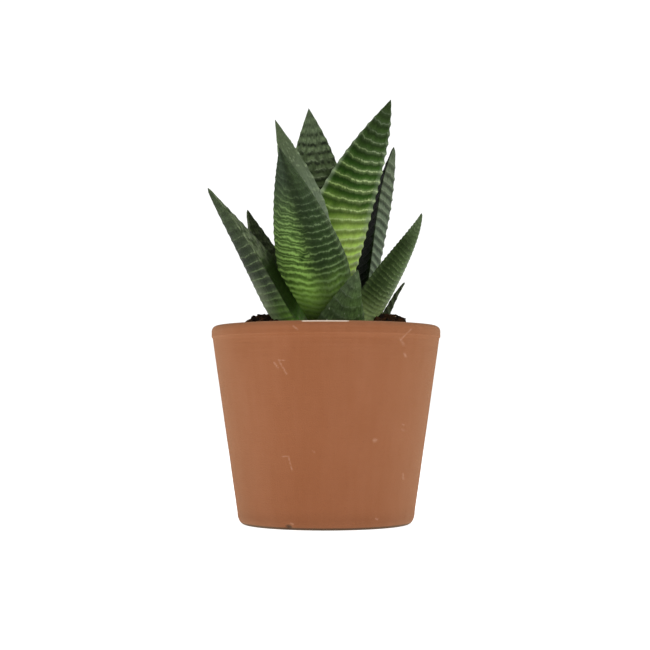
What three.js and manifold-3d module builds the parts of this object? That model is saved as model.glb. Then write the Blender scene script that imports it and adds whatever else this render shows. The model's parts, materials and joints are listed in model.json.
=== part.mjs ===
// A potted haworthia: a rosette of thick, keeled leaves banded with raised cross ridges,
// on a short stem with fleshy roots, in a bark mix in a tapered terracotta pot.
// Millimetres, +Z up. The origin is the middle of the pot's foot, and -Y is the front.

import * as THREE from 'three';
import { mergeVertices } from 'three/addons/utils/BufferGeometryUtils.js';
import Module from 'manifold-3d';

const wasm = await Module();
wasm.setup();

// ---- Driving dimensions -------------------------------------------------------------

const GAP = 0.3; // between touching pieces

const POT = {
  height: 68.9,
  rimRadius: 40.2,
  lipHeight: 4.3,
  lipStep: 0.35, // how far the lip stands out of the wall below it
  lipRound: 1.9,
  wall: 4.2,
  footRadius: 28.5,
  footBevelHeight: 4.1,
  footBevelWidth: 2.5,
  mouthBevel: 1,
  floor: 5,
  cove: 3, // hollow rounding between the floor and the wall
  drainRadius: 5,
  sides: 56,
};

const SOIL = {
  edgeHeight: 63, // where it meets the pot
  moundHeight: 66.8, // round the rosette
  sideLift: 5, // how much higher it is heaped to the left and the right
  shoulder: 0.36, // share of the way out to the pot where the mound starts to fall
  holeRadius: 18,
  holeFloor: 62,
  crumb: 0.9, // relief of the bark crumbs
  sway: 0.25, // how far a crumb lies off its ring
  rings: 7,
  sides: 36,
};

const STEM = {
  crownHeight: 69, // top of the dome that the leaves grow from
  crownRadius: 10,
  shoulderHeight: 62.5,
  neckRadius: 5,
  neckHeight: 52,
  tailRadius: 2.2,
  tailHeight: 38,
  sides: 20,
};

const ROOTS = {
  count: 5,
  startHeight: 52,
  reach: 17,
  drop: 24,
  thickRadius: 1.9,
  thinRadius: 0.8,
  sides: 6,
  steps: 5,
};

const RIDGE = {
  height: 0.4, // crest above valley
  wave: 0.16, // share of the ridge spacing by which a crest wanders
  sag: 1.6, // how far a crest sags at the keel of the outer face
  innerSag: 0.5, // and along the middle of the inner face
  slant: 0, // how much higher than its middle a crest ends on one margin
  footSpacing: 0.9, // spacing at the foot, as a share of that further up
  from: 0.09, // share of the leaf that is bare at its foot
};

const ROSETTE_SHIFT = -0.35; // the leaves stand a little left of the pot's axis

const LEAF = {
  thinEdge: 0.3, // half the thickness of the margin at the tip
  thickEdge: 0.85, // and where the leaf is widest
  keel: 1.7, // 1 gives the outer face a sharp keel, 2 a round one
  lastRing: 0.985, // share of the length where the point starts
  plainRings: 10, // rings of a plain leaf, which cuts its neighbours
};

// Each leaf: the spine's four Bezier points, the azimuth that its inner face looks to at
// the foot and at the tip (0 is +X, 90 is +Y), its greatest width, the share of it at the
// foot, where along the leaf it is widest, how full it stays towards the tip, the depth of
// the keeled outer face and of the hollow inner face, the ridges, and the columns round it.
// A leaf whose ridges sag or slant in their own way says so.
// Inner leaves come first, because each later leaf is cut clear of the earlier ones.
const LEAVES = {
  leaf_heart: {
    spine: [[3.5, 0, 64], [6, 0, 73], [6.5, 0.5, 82], [4.5, 0.5, 91]],
    faces: [190, 190], width: 8, foot: 0.7, widest: 0.35, full: 1.3,
    belly: 2.5, hollow: 0.4, ridges: 9, columns: 8,
  },
  leaf_inner_left: {
    spine: [[-1, 0, 64], [0.2, -1.5, 90.5], [-6.1, -1.5, 112], [-17.8, 0, 142.6]],
    faces: [-70, -67], width: 15.5, foot: 0.5, widest: 0.6, full: 1.55,
    belly: 5, hollow: 1, ridges: 20, columns: 10, slant: 1.2,
  },
  leaf_tall_right: {
    spine: [[1, 4.5, 64], [-7, 10, 96.3], [15.5, 13, 130.2], [24, 12, 152.3]],
    faces: [-108, -112], width: 23.5, foot: 0.4, widest: 0.37, full: 1.77,
    belly: 5.5, hollow: 1.4, ridges: 25, columns: 14, innerSag: 2.8, slant: -2.1,
  },
  leaf_front_left: {
    spine: [[4.8, -4, 64], [-3, -10, 84], [-9.5, -15, 105.7], [-15.7, -16, 129.7]],
    faces: [90, 94], width: 24, foot: 0.34, widest: 0.39, full: 1.62,
    belly: 6, hollow: 1.2, ridges: 29, columns: 12, sag: 3.6, slant: -3.6,
  },
  leaf_tall_back: {
    spine: [[-1, 8.5, 64], [-2.5, 19, 92], [-2.7, 26, 122], [-6.1, 26, 152]],
    faces: [-87, -93], width: 26.5, foot: 0.5, widest: 0.44, full: 1.82,
    belly: 5, hollow: 0.8, ridges: 26, columns: 10, innerSag: 1,
  },
  leaf_left: {
    spine: [[-2, -6.5, 63], [-11.2, -12, 79.2], [-20.7, -18, 93.9], [-39.9, -20, 115.1]],
    faces: [-8, -5], width: 23, foot: 0.6, widest: 0.33, full: 1.36,
    belly: 9.5, hollow: 0.6, ridges: 23, columns: 12, sag: -0.8,
  },
  leaf_right: {
    spine: [[8.9, -4, 63], [14.6, -11, 78.7], [29.3, -15, 94.9], [33.2, -14, 107.2]],
    faces: [143, 149], width: 18.5, foot: 0.55, widest: 0.26, full: 1.47,
    belly: 3.8, hollow: 0.8, ridges: 16, columns: 12, sag: 1.2,
  },
  leaf_back_right: {
    spine: [[8, 5, 64], [14.6, 14, 86], [13.9, 18, 110.4], [25.2, 16, 135.7]],
    faces: [211, 181], width: 18.5, foot: 0.5, widest: 0.62, full: 2.08,
    belly: 5.6, hollow: 1, ridges: 22, columns: 10, sag: 2.4,
  },
  leaf_left_small: {
    spine: [[-8, 2, 64], [-9.6, 6, 80], [-22.1, 7, 95], [-27.7, 5, 111]],
    faces: [-25, -25], width: 18.5, foot: 0.6, widest: 0.51, full: 1.59,
    belly: 4, hollow: 0.6, ridges: 16, columns: 8,
  },
  leaf_front_small: {
    spine: [[4.4, -7, 63], [5, -14, 68.4], [9.4, -17.5, 80.5], [11.2, -19, 87.3]],
    faces: [99, 95], width: 20.5, foot: 0.95, widest: 0.14, full: 1.05,
    belly: 3.6, hollow: 0.5, ridges: 9, columns: 12,
  },
  leaf_right_small: {
    spine: [[9, 1, 65], [20.5, 4, 65.5], [21, 6, 77.2], [28.5, 6, 85]],
    faces: [170, 180], width: 5, foot: 0.8, widest: 0.3, full: 1.3,
    belly: 1.6, hollow: 0.2, ridges: 10, columns: 8,
  },
  leaf_rear_left: {
    spine: [[-3.5, 9, 64], [-8, 18, 76], [-11, 27, 92], [-11, 32, 109]],
    faces: [-70, -75], width: 17, foot: 0.5, widest: 0.35, full: 1.35,
    belly: 4.5, hollow: 0.8, ridges: 15, columns: 8,
  },
  leaf_rear_right: {
    spine: [[5, 8.5, 64], [10, 20, 76], [14, 28, 90], [15.5, 33, 103]],
    faces: [-115, -115], width: 15, foot: 0.5, widest: 0.35, full: 1.35,
    belly: 4.2, hollow: 0.8, ridges: 14, columns: 8,
  },
  leaf_rear_side: {
    spine: [[-7.5, 6, 64], [-13, 14, 69], [-17.5, 21, 78], [-20.5, 27, 87.5]],
    faces: [-50, -50], width: 13, foot: 0.6, widest: 0.3, full: 1.3,
    belly: 3.8, hollow: 0.6, ridges: 11, columns: 8,
  },
  leaf_rear_low: {
    spine: [[0.5, 9.5, 63.5], [1, 21, 68.5], [3, 30, 77], [4, 36, 86.5]],
    faces: [-95, -95], width: 14, foot: 0.55, widest: 0.3, full: 1.3,
    belly: 3.8, hollow: 0.6, ridges: 12, columns: 8,
  },
  leaf_rear_corner: {
    spine: [[8, 5.5, 64], [15, 13, 69], [19, 20, 77], [22, 26, 85.5]],
    faces: [-130, -130], width: 12, foot: 0.6, widest: 0.3, full: 1.3,
    belly: 3.6, hollow: 0.6, ridges: 11, columns: 8,
  },
};

const MATERIALS = {
  terracotta: new THREE.MeshStandardMaterial({ color: 0xa0654a, roughness: 0.9, metalness: 0 }),
  bark: new THREE.MeshStandardMaterial({ color: 0x33231a, roughness: 1, metalness: 0 }),
  root: new THREE.MeshStandardMaterial({ color: 0xc9b68c, roughness: 0.8, metalness: 0 }),
  leaf: new THREE.MeshStandardMaterial({ color: 0x3f6b2e, roughness: 0.5, metalness: 0 }),
};

// ---- Small helpers ------------------------------------------------------------------

// a repeatable number from 0 to 1 for a whole number
function hash(n) {
  const wave = Math.sin(n * 12.9898 + 4.1414) * 43758.5453;
  return wave - Math.floor(wave);
}

function solidFrom(geometry) {
  const bare = geometry.clone();
  bare.deleteAttribute('normal');
  bare.deleteAttribute('uv');
  const merged = mergeVertices(bare, 1e-4);
  return new wasm.Manifold(new wasm.Mesh({
    numProp: 3,
    vertProperties: new Float32Array(merged.attributes.position.array),
    triVerts: new Uint32Array(merged.index.array),
  }));
}

// the geometry of a solid, without the loose scraps that a cut may leave
function geometryFrom(solid) {
  const pieces = solid.decompose();
  const largest = pieces.reduce((a, b) => (a.volume() > b.volume() ? a : b));
  const mesh = largest.getMesh();
  const geometry = new THREE.BufferGeometry();
  geometry.setAttribute('position', new THREE.BufferAttribute(mesh.vertProperties, 3));
  geometry.setIndex(new THREE.BufferAttribute(mesh.triVerts, 1));
  geometry.computeVertexNormals();
  return geometry;
}

function lathe(profile, sides) {
  const points = profile.map(([r, z]) => new THREE.Vector2(r, z));
  return new THREE.LatheGeometry(points, sides).rotateX(Math.PI / 2);
}

function geometryOf(points, faces) {
  const geometry = new THREE.BufferGeometry();
  geometry.setAttribute('position', new THREE.Float32BufferAttribute(points.flat(), 3));
  geometry.setIndex(faces.flat());
  return geometry;
}

// ---- Pot ----------------------------------------------------------------------------

function potWallRadius(z) {
  const bottom = POT.footRadius + POT.footBevelWidth;
  const top = POT.rimRadius - POT.lipStep;
  const share = (z - POT.footBevelHeight) / (POT.height - POT.lipHeight - POT.footBevelHeight);
  return bottom + (top - bottom) * share;
}

function potInnerRadius(z) {
  return potWallRadius(z) - POT.wall;
}

function potProfile() {
  const lipBase = POT.height - POT.lipHeight;
  const profile = [[POT.drainRadius, 0], [POT.footRadius, 0]];
  for (const angle of [30, 60, 90]) {
    const turn = THREE.MathUtils.degToRad(angle);
    profile.push([
      POT.footRadius + POT.footBevelWidth * Math.sin(turn),
      POT.footBevelHeight * (1 - Math.cos(turn)),
    ]);
  }
  profile.push([potWallRadius(lipBase), lipBase], [POT.rimRadius, lipBase + POT.lipStep]);
  for (const angle of [0, 30, 60, 90]) {
    const turn = THREE.MathUtils.degToRad(angle);
    profile.push([
      POT.rimRadius - POT.lipRound * (1 - Math.cos(turn)),
      POT.height - POT.lipRound * (1 - Math.sin(turn)),
    ]);
  }
  const mouth = potInnerRadius(lipBase);
  profile.push([mouth + POT.mouthBevel, POT.height]);
  profile.push([mouth, POT.height - POT.mouthBevel], [mouth, lipBase]);
  const coveTop = POT.floor + POT.cove;
  profile.push([potInnerRadius(coveTop), coveTop]);
  profile.push([potInnerRadius(coveTop) - POT.cove * 0.3, POT.floor + POT.cove * 0.3]);
  profile.push([potInnerRadius(POT.floor) - POT.cove, POT.floor]);
  profile.push([POT.drainRadius, POT.floor], [POT.drainRadius, 0]);
  return profile;
}

// ---- Stem and roots -----------------------------------------------------------------

function stemGeometry(swell) {
  const crown = STEM.crownRadius + swell;
  const profile = [[0, STEM.tailHeight - swell]];
  profile.push([STEM.tailRadius + swell, STEM.tailHeight - swell]);
  profile.push([STEM.neckRadius + swell, STEM.neckHeight]);
  profile.push([crown - 1.5, STEM.shoulderHeight - 4 - swell]);
  const dome = STEM.crownHeight - STEM.shoulderHeight;
  for (const angle of [0, 30, 60, 90]) {
    const turn = THREE.MathUtils.degToRad(angle);
    profile.push([
      angle === 90 ? 0 : crown * Math.cos(turn),
      STEM.shoulderHeight + (dome + swell) * Math.sin(turn),
    ]);
  }
  return lathe(profile, STEM.sides);
}

// a fleshy root: a tapering tube that leaves the neck and bends down
function rootGeometry(number, swell) {
  const turn = (number + 0.35 * hash(number)) * (2 * Math.PI / ROOTS.count);
  const out = new THREE.Vector3(Math.cos(turn), Math.sin(turn), 0);
  const reach = ROOTS.reach * (0.75 + 0.25 * hash(number + 20));
  const start = new THREE.Vector3(0, 0, ROOTS.startHeight);
  const elbow = start.clone().addScaledVector(out, reach * 0.6).setZ(ROOTS.startHeight - 4);
  const end = start.clone().addScaledVector(out, reach).setZ(ROOTS.startHeight - ROOTS.drop);
  const curve = new THREE.QuadraticBezierCurve3(start, elbow, end);
  const across = new THREE.Vector3(-out.y, out.x, 0);
  const points = [];
  const faces = [];
  for (let step = 0; step <= ROOTS.steps; step++) {
    const t = step / ROOTS.steps;
    const radius = THREE.MathUtils.lerp(ROOTS.thickRadius, ROOTS.thinRadius, t) + swell;
    const along = curve.getTangent(t);
    const up = new THREE.Vector3().crossVectors(along, across);
    for (let side = 0; side < ROOTS.sides; side++) {
      const angle = side * 2 * Math.PI / ROOTS.sides;
      const point = curve.getPoint(t)
        .addScaledVector(across, radius * Math.cos(angle))
        .addScaledVector(up, radius * Math.sin(angle));
      points.push(point.toArray());
    }
  }
  const tip = end.clone().addScaledVector(curve.getTangent(1), swell + ROOTS.thinRadius);
  points.push(start.toArray(), tip.toArray());
  closeRings(faces, ROOTS.steps + 1, ROOTS.sides, () => false);
  return geometryOf(points, faces);
}

// faces of a tube of rings, whose last two points close its start and its end
function closeRings(faces, rings, sides, flip) {
  const startPoint = rings * sides;
  for (let side = 0; side < sides; side++) {
    const next = (side + 1) % sides;
    for (let ring = 0; ring < rings - 1; ring++) {
      const a = ring * sides + side;
      const b = ring * sides + next;
      const c = a + sides;
      const d = b + sides;
      if (flip(side)) faces.push([a, b, c], [b, d, c]);
      else faces.push([a, b, d], [a, d, c]);
    }
    faces.push([startPoint, next, side]);
    const last = (rings - 1) * sides;
    faces.push([startPoint + 1, last + side, last + next]);
  }
}

function stemSolid(swell) {
  let solid = solidFrom(stemGeometry(swell));
  for (let number = 0; number < ROOTS.count; number++) {
    solid = solid.add(solidFrom(rootGeometry(number, swell)));
  }
  return solid;
}

// ---- Soil ---------------------------------------------------------------------------

// height of the bark mix on one ring and side: a mound with crumbs standing out of it
function soilHeight(ring, side) {
  const share = ring / SOIL.rings;
  const fall = THREE.MathUtils.smoothstep(share, SOIL.shoulder, 1);
  const top = SOIL.moundHeight + SOIL.sideLift * Math.cos(side * 2 * Math.PI / SOIL.sides) ** 4;
  const mound = THREE.MathUtils.lerp(top, SOIL.edgeHeight, fall);
  const rough = Math.sin(Math.PI * share) + 0.35;
  return mound + SOIL.crumb * rough * (2 * hash(ring * 91 + side * 7) - 1);
}

function soilGeometry() {
  const edge = potInnerRadius(SOIL.edgeHeight) - GAP;
  const bottom = POT.floor + GAP;
  const coveTop = POT.floor + POT.cove;
  const rows = [];
  rows.push({ radius: potInnerRadius(POT.floor) - POT.cove - GAP, height: bottom });
  rows.push({ radius: potInnerRadius(coveTop) - 2 * GAP, height: coveTop + GAP });
  for (let ring = SOIL.rings; ring >= 0; ring--) {
    const radius = THREE.MathUtils.lerp(SOIL.holeRadius, edge, ring / SOIL.rings);
    rows.push({ radius, ring });
  }
  rows.push({ radius: SOIL.holeRadius - GAP, height: SOIL.holeFloor });
  const points = [];
  const faces = [];
  for (const { radius, height, ring } of rows) {
    for (let side = 0; side < SOIL.sides; side++) {
      const turn = side * 2 * Math.PI / SOIL.sides;
      const inner = ring > 0 && ring < SOIL.rings;
      const sway = inner ? SOIL.sway * (2 * hash(ring * 17 + side * 3) - 1) : 0;
      const z = height ?? soilHeight(ring, side);
      points.push([(radius + sway) * Math.cos(turn), (radius + sway) * Math.sin(turn), z]);
    }
  }
  points.push([0, 0, bottom], [0, 0, SOIL.holeFloor]);
  closeRings(faces, rows.length, SOIL.sides, (side) => side % 2 === 0);
  return geometryOf(points, faces);
}

// ---- Leaves -------------------------------------------------------------------------

// share of the greatest width at t along the leaf
function leafGirth(leaf, t) {
  if (t < leaf.widest) {
    return leaf.foot + (1 - leaf.foot) * Math.sin(t / leaf.widest * Math.PI / 2);
  }
  const share = (t - leaf.widest) / (1 - leaf.widest);
  return 1 - share ** leaf.full;
}

// the cut across a leaf at angle theta: x across it, y towards the inner face
function leafSection(leaf, t, theta) {
  const girth = leafGirth(leaf, t);
  const across = Math.cos(theta);
  const rounded = THREE.MathUtils.lerp(LEAF.thinEdge, LEAF.thickEdge, girth) * Math.sin(theta);
  const x = leaf.width / 2 * girth * across;
  const inner = rounded - leaf.hollow * girth * (1 - across * across);
  const outer = rounded - leaf.belly * girth ** 0.8 * (1 - Math.abs(across) ** LEAF.keel);
  return new THREE.Vector2(x, Math.sin(theta) >= 0 ? inner : outer);
}

function leafPoint(leaf, curve, t, theta, raised) {
  const step = 1e-3;
  const here = leafSection(leaf, t, theta);
  const ahead = leafSection(leaf, t, theta + step);
  const behind = leafSection(leaf, t, theta - step);
  const out = new THREE.Vector2(ahead.y - behind.y, behind.x - ahead.x).normalize();
  here.addScaledVector(out, raised);
  const along = curve.getTangent(t);
  const turn = THREE.MathUtils.degToRad(THREE.MathUtils.lerp(leaf.faces[0], leaf.faces[1], t));
  const face = new THREE.Vector3(Math.cos(turn), Math.sin(turn), 0);
  face.addScaledVector(along, -face.dot(along)).normalize();
  const side = new THREE.Vector3().crossVectors(face, along);
  return curve.getPoint(t).addScaledVector(side, here.x).addScaledVector(face, here.y);
}

// how far ridge number `ridge` wanders at theta, in ridge spacings, alike at 0 and 360 deg
function ridgeWander(leaf, ridge, theta) {
  const first = 2 * Math.PI * hash(ridge * 3 + leaf.width);
  const second = 2 * Math.PI * hash(ridge * 5 + leaf.width * 2);
  return RIDGE.wave * (0.6 * Math.sin(2 * theta + first) + 0.4 * Math.sin(4 * theta + second));
}

// rows that follow the crests and the valleys of the ridges, or even rows for a plain leaf
function leafRows(leaf, plain) {
  const rows = [];
  if (plain) {
    for (let ring = 0; ring <= LEAF.plainRings; ring++) {
      rows.push({ t: ring / LEAF.plainRings * LEAF.lastRing, crest: 0 });
    }
    return rows;
  }
  for (let half = 0; half < 2 * leaf.ridges; half++) {
    const t = half / (2 * leaf.ridges);
    const bare = half > 0 && t < RIDGE.from;
    if (bare) continue;
    const closer = t * THREE.MathUtils.lerp(RIDGE.footSpacing, 1, t);
    rows.push({ t: closer, crest: half % 2, ridge: (half - 1) / 2 });
  }
  rows.push({ t: LEAF.lastRing, crest: 0, ridge: leaf.ridges });
  return rows;
}

function leafGeometry(leaf, { plain = false, swell = 0 } = {}) {
  const spine = leaf.spine.map(([x, y, z]) => new THREE.Vector3(x + ROSETTE_SHIFT, y, z));
  const curve = new THREE.CubicBezierCurve3(...spine);
  const length = curve.getLength();
  const points = [];
  const faces = [];
  const rows = leafRows(leaf, plain);
  for (const { t, crest, ridge } of rows) {
    const fade = Math.min(1, 6 * t, 7 * (1 - t));
    for (let column = 0; column < leaf.columns; column++) {
      const theta = column * 2 * Math.PI / leaf.columns;
      let shifted = t;
      if (!plain) {
        const below = ridgeWander(leaf, Math.floor(ridge), theta);
        const above = ridgeWander(leaf, Math.ceil(ridge), theta);
        shifted += fade * (below + above) / 2 / leaf.ridges;
        const sag = Math.sin(theta) < 0 ? leaf.sag ?? RIDGE.sag : leaf.innerSag ?? RIDGE.innerSag;
        const slant = leaf.slant ?? RIDGE.slant;
        shifted -= fade * sag * Math.sin(theta) ** 2 / length;
        shifted += fade * slant * Math.cos(theta) / length;
      }
      const raised = swell + crest * fade * RIDGE.height;
      points.push(leafPoint(leaf, curve, shifted, theta, raised).toArray());
    }
  }
  const tip = curve.getPoint(1).addScaledVector(curve.getTangent(1), swell);
  const foot = curve.getPoint(0).addScaledVector(curve.getTangent(0), -swell);
  points.push(foot.toArray(), tip.toArray());
  closeRings(faces, rows.length, leaf.columns, (column) => column >= leaf.columns / 2);
  return geometryOf(points, faces);
}

// ---- Assembly -----------------------------------------------------------------------

const plant = new THREE.Group();

function addPiece(name, geometry, material) {
  const mesh = new THREE.Mesh(geometry, material);
  mesh.name = name;
  plant.add(mesh);
}

addPiece('terracotta_pot', lathe(potProfile(), POT.sides), MATERIALS.terracotta);
addPiece('stem_and_roots', geometryFrom(stemSolid(0)), MATERIALS.root);

let taken = solidFrom(stemGeometry(GAP));
for (const [name, leaf] of Object.entries(LEAVES)) {
  const solid = solidFrom(leafGeometry(leaf)).subtract(taken);
  addPiece(name, geometryFrom(solid), MATERIALS.leaf);
  taken = taken.add(solidFrom(leafGeometry(leaf, { plain: true, swell: RIDGE.height + GAP })));
}

const soil = solidFrom(soilGeometry()).subtract(stemSolid(GAP)).subtract(taken);
addPiece('potting_soil', geometryFrom(soil), MATERIALS.bark);

export default plant;
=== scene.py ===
# %% [markdown]
# # A potted haworthia
# A haworthia is a small succulent: a rosette of thick, keeled leaves that are banded across
# with raised pale ridges. This one grows in a bark mix in a plain tapered clay pot.
# An exact but plain model of the plant and its pot is loaded first and stays fixed. Each
# step after that remakes one of its pieces finely, in the same place, and gives it a finish.

# %% Load the fixed model
import json
import math
from types import SimpleNamespace

import bpy
import numpy as np
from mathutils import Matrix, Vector, noise

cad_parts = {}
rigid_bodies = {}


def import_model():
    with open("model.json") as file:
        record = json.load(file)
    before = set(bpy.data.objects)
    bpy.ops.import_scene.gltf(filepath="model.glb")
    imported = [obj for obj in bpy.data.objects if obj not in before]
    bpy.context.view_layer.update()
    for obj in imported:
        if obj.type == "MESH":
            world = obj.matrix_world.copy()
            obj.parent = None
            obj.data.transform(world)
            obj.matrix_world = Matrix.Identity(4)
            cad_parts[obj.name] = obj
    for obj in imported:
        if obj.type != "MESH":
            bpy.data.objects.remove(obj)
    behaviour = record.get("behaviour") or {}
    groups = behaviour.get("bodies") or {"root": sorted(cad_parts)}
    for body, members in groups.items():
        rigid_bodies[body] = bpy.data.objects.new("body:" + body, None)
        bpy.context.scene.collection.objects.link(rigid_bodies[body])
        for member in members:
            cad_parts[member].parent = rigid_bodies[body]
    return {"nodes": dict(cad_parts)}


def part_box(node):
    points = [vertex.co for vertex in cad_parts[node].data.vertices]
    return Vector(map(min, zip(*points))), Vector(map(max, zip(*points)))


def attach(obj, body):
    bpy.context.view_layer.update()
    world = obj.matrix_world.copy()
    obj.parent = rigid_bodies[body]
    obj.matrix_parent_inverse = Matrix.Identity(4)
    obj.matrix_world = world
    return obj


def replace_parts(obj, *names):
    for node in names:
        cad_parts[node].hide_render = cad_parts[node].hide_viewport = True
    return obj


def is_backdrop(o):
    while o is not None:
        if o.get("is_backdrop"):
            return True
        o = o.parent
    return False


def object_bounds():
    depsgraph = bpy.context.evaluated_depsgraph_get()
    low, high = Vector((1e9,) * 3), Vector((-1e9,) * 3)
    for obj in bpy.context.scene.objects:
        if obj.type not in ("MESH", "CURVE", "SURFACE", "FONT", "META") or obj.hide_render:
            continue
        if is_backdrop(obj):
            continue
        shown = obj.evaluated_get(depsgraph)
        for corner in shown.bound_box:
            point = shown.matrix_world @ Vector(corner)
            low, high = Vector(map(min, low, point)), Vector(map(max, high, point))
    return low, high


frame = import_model()
scene = bpy.context.scene
cad_low, cad_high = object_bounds()
MM = 0.001  # the file thinks in millimetres, and Blender in metres
print("plain pieces:", len(frame["nodes"]))
print("box in mm:", [round(v / MM, 1) for v in (*cad_low, *cad_high)])

# %% [markdown]
# ## Writing formulas as nodes
# Geometry Nodes and shader nodes work out a formula with one small node for each sum. Wired
# one by one, it can no longer be read. So a `Term` stands for one socket, and Python's own
# signs add the Math nodes: `a * b + 1` makes two of them.

# %% Terms
class Term:
    """One socket of a node tree, which sums and products can be made of."""

    def __init__(self, socket):
        self.socket = socket
        self.tree = socket.id_data
        self.is_vector = socket.type in {"VECTOR", "RGBA"}


SIGNS = {"add": "ADD", "sub": "SUBTRACT", "mul": "MULTIPLY", "truediv": "DIVIDE",
         "pow": "POWER", "lt": "LESS_THAN", "gt": "GREATER_THAN"}
for sign, operation in SIGNS.items():  # Python reads a + 1 as __add__ and 1 + a as __radd__
    setattr(Term, f"__{sign}__", lambda a, b, do=operation: worked(do, a, b))
    setattr(Term, f"__r{sign}__", lambda a, b, do=operation: worked(do, b, a))


def feed(socket, value):
    if isinstance(value, Term):
        socket.id_data.links.new(value.socket, socket)
    elif value is not None:
        socket.default_value = value


def node(tree, kind, feeds=(), **settings):
    """Adds a node, makes its menu choices, and feeds its inputs by name or by number."""
    made = tree.nodes.new(kind)
    for setting, choice in settings.items():
        setattr(made, setting, choice)
    for key, value in dict(feeds).items():
        feed(made.inputs[key], value)
    return made


def result(tree, kind, feeds=(), output=0, **settings):
    """Adds a node in the same way, and gives back one of its outputs as a Term."""
    return Term(node(tree, kind, feeds, **settings).outputs[output])


def tree_of(*values):
    return next(v.tree for v in values if isinstance(v, Term))


def worked(operation, *values):
    """The Math or Vector Math node that works out one operation."""
    tree = tree_of(*values)
    vectors = [v for v in values if isinstance(v, tuple) or getattr(v, "is_vector", False)]
    if not any(isinstance(v, Term) for v in vectors):
        return result(tree, "ShaderNodeMath", enumerate(values), operation=operation)
    if operation == "MULTIPLY" and len(vectors) == 1:
        size = next(v for v in values if v is not vectors[0])
        feeds = {"Vector": vectors[0], "Scale": size}
        return result(tree, "ShaderNodeVectorMath", feeds, operation="SCALE")
    answer = "Value" if operation in {"DOT_PRODUCT", "LENGTH", "DISTANCE"} else "Vector"
    return result(tree, "ShaderNodeVectorMath", enumerate(values), answer, operation=operation)


print("signs that make nodes: + - * / ** < >")

# %% [markdown]
# The same idea gives names to the few curves that a leaf needs: a value that slides from
# one to another, one that ramps softly up, and one that wanders.

# %% Curves and noise
def sine(a): return worked("SINE", a)
def cosine(a): return worked("COSINE", a)
def size_of(a): return worked("ABSOLUTE", a)
def smaller(a, b): return worked("MINIMUM", a, b)
def larger(a, b): return worked("MAXIMUM", a, b)
def clipped(a): return larger(smaller(a, 1), 0)
def slide(a, b, share): return a + (b - a) * share


def ramp(value, low, high):
    """0 below low and 1 above high, or the other way round if low is the larger."""
    feeds = {"Value": value, "From Min": low, "From Max": high}
    return result(value.tree, "ShaderNodeMapRange", feeds, interpolation_type="SMOOTHSTEP")


def wander(place, scale, detail=2, roughness=0.5):
    """A value that wanders smoothly between about -1 and 1."""
    feeds = {"Vector": place, "Scale": scale, "Detail": detail, "Roughness": roughness}
    return result(place.tree, "ShaderNodeTexNoise", feeds) * 4 - 2


def cells(place, scale):
    """Distance from the middle of the nearest of many scattered cells."""
    feeds = {"Vector": place, "Scale": scale}
    return result(place.tree, "ShaderNodeTexVoronoi", feeds, "Distance")


def vector_of(x, y, z):
    return result(tree_of(x, y, z), "ShaderNodeCombineXYZ", enumerate((x, y, z)))


def parts_of(vector):
    made = node(vector.tree, "ShaderNodeSeparateXYZ", {0: vector})
    return [Term(socket) for socket in made.outputs]


print("curves and noises ready")

# %% [markdown]
# A group is a formula with named inputs, like the settings on a machine. They are listed as
# the number or colour to start from, or as a kind of socket that has to be filled.

# %% Groups with named inputs
NUMBER, VECTOR, WHOLE = "NodeSocketFloat", "NodeSocketVector", "NodeSocketInt"
GEOMETRY, MATERIAL, COLOUR = "NodeSocketGeometry", "NodeSocketMaterial", "NodeSocketColor"


def new_group(kind, name, inputs, outputs):
    """An empty node group, the terms that enter it by name, and its output node."""
    tree = bpy.data.node_groups.new(name, kind + "NodeTree")
    for label, start in inputs.items():
        is_kind = isinstance(start, str)
        socket_type = start if is_kind else COLOUR if isinstance(start, tuple) else NUMBER
        made = tree.interface.new_socket(label, in_out="INPUT", socket_type=socket_type)
        if not is_kind:
            made.default_value = start
    for label, socket_type in outputs.items():
        tree.interface.new_socket(label, in_out="OUTPUT", socket_type=socket_type)
    entry = tree.nodes.new("NodeGroupInput")
    given = {s.name.lower().replace(" ", "_"): Term(s) for s in entry.outputs if s.name}
    return tree, SimpleNamespace(**given), tree.nodes.new("NodeGroupOutput")


def hand_out(end, *values):
    """Feeds the outputs of a group, in their order."""
    for socket, value in zip(end.inputs, values):
        feed(socket, value)


def tell(tree):
    print(f"{tree.name}: {len(tree.nodes)} nodes")


print("groups ready")

# %% [markdown]
# ## The leaves: one rule for all of them
# Every leaf is the same thing bent and sized in its own way: a spine that curves out of the
# crown, a width that swells and then tapers to a point, a keeled outer face and a slightly
# hollow inner one. It could be sculpted sixteen times, but a rule keeps all leaves alike,
# and one number changes any of them. These sizes are the plain model's own, so each fine
# leaf grows where its plain one stands.

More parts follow.
